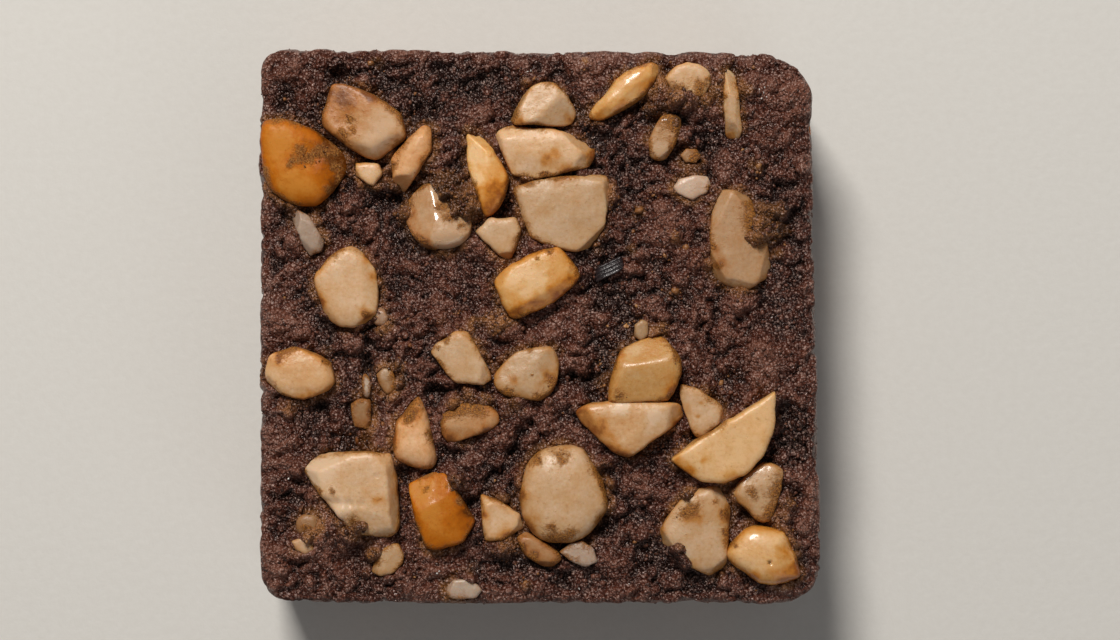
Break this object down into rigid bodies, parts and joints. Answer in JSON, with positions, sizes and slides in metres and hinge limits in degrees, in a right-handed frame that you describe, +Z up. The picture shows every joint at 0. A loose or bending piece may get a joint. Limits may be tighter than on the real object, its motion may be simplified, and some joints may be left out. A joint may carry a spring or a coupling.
{
  "type": "protein bar",
  "caption": "Square slab of dark cocoa dough with a crumbly top, studded with chopped roasted nuts pressed into its top and sides.",
  "frame": {"origin": "middle of the bar's footprint, on the flat face it rests on", "axes": "+X to the right and +Y away from the viewer along the bar's sides, +Z up out of the nutty top"},
  "size_m": [0.053, 0.0526, 0.0174],
  "materials": {
    "dough": "moist dark cocoa crumb",
    "nut_white": "pale broken nut, satin",
    "nut_cream": "lightly roasted nut, satin",
    "nut_gold": "golden roasted nut, satin",
    "nut_tan": "brown roasted nut, satin",
    "nut_orange": "dark roasted nut, glossy"
  },
  "bodies": {
    "root": {"dough": "dough", "nut_01": "nut_orange", "nut_02": "nut_tan", "nut_03": "nut_gold", "nut_04": "nut_cream", "nut_05": "nut_cream", "nut_06": "nut_cream", "nut_07": "nut_cream", "nut_08": "nut_gold", "nut_09": "nut_tan", "nut_10": "nut_gold", "nut_11": "nut_cream", "nut_12": "nut_cream", "nut_13": "nut_gold", "nut_14": "nut_cream", "nut_15": "nut_cream", "nut_16": "nut_cream", "nut_17": "nut_orange", "nut_18": "nut_tan", "nut_19": "nut_cream", "nut_20": "nut_tan", "nut_21": "nut_white", "nut_22": "nut_gold", "nut_23": "nut_cream", "nut_24": "nut_cream", "nut_25": "nut_tan", "nut_26": "nut_cream", "nut_27": "nut_cream", "nut_28": "nut_gold", "nut_29": "nut_cream", "nut_30": "nut_tan", "nut_31": "nut_cream", "nut_32": "nut_tan", "nut_33": "nut_tan", "nut_34": "nut_cream", "nut_35": "nut_white", "nut_36": "nut_cream", "nut_37": "nut_white", "nut_38": "nut_tan", "nut_39": "nut_tan", "nut_40": "nut_tan", "nut_41": "nut_tan", "nut_42": "nut_tan", "nut_43": "nut_cream", "nut_44": "nut_white", "nut_45": "nut_white", "nut_46": "nut_white", "nut_47": "nut_cream", "nut_48": "nut_cream", "nut_49": "nut_gold", "nut_50": "nut_tan", "nut_51": "nut_tan", "nut_52": "nut_cream", "nut_53": "nut_orange", "nut_54": "nut_gold", "nut_55": "nut_white", "nut_56": "nut_cream", "nut_57": "nut_tan", "nut_58": "nut_cream"}
  },
  "joints": []
}
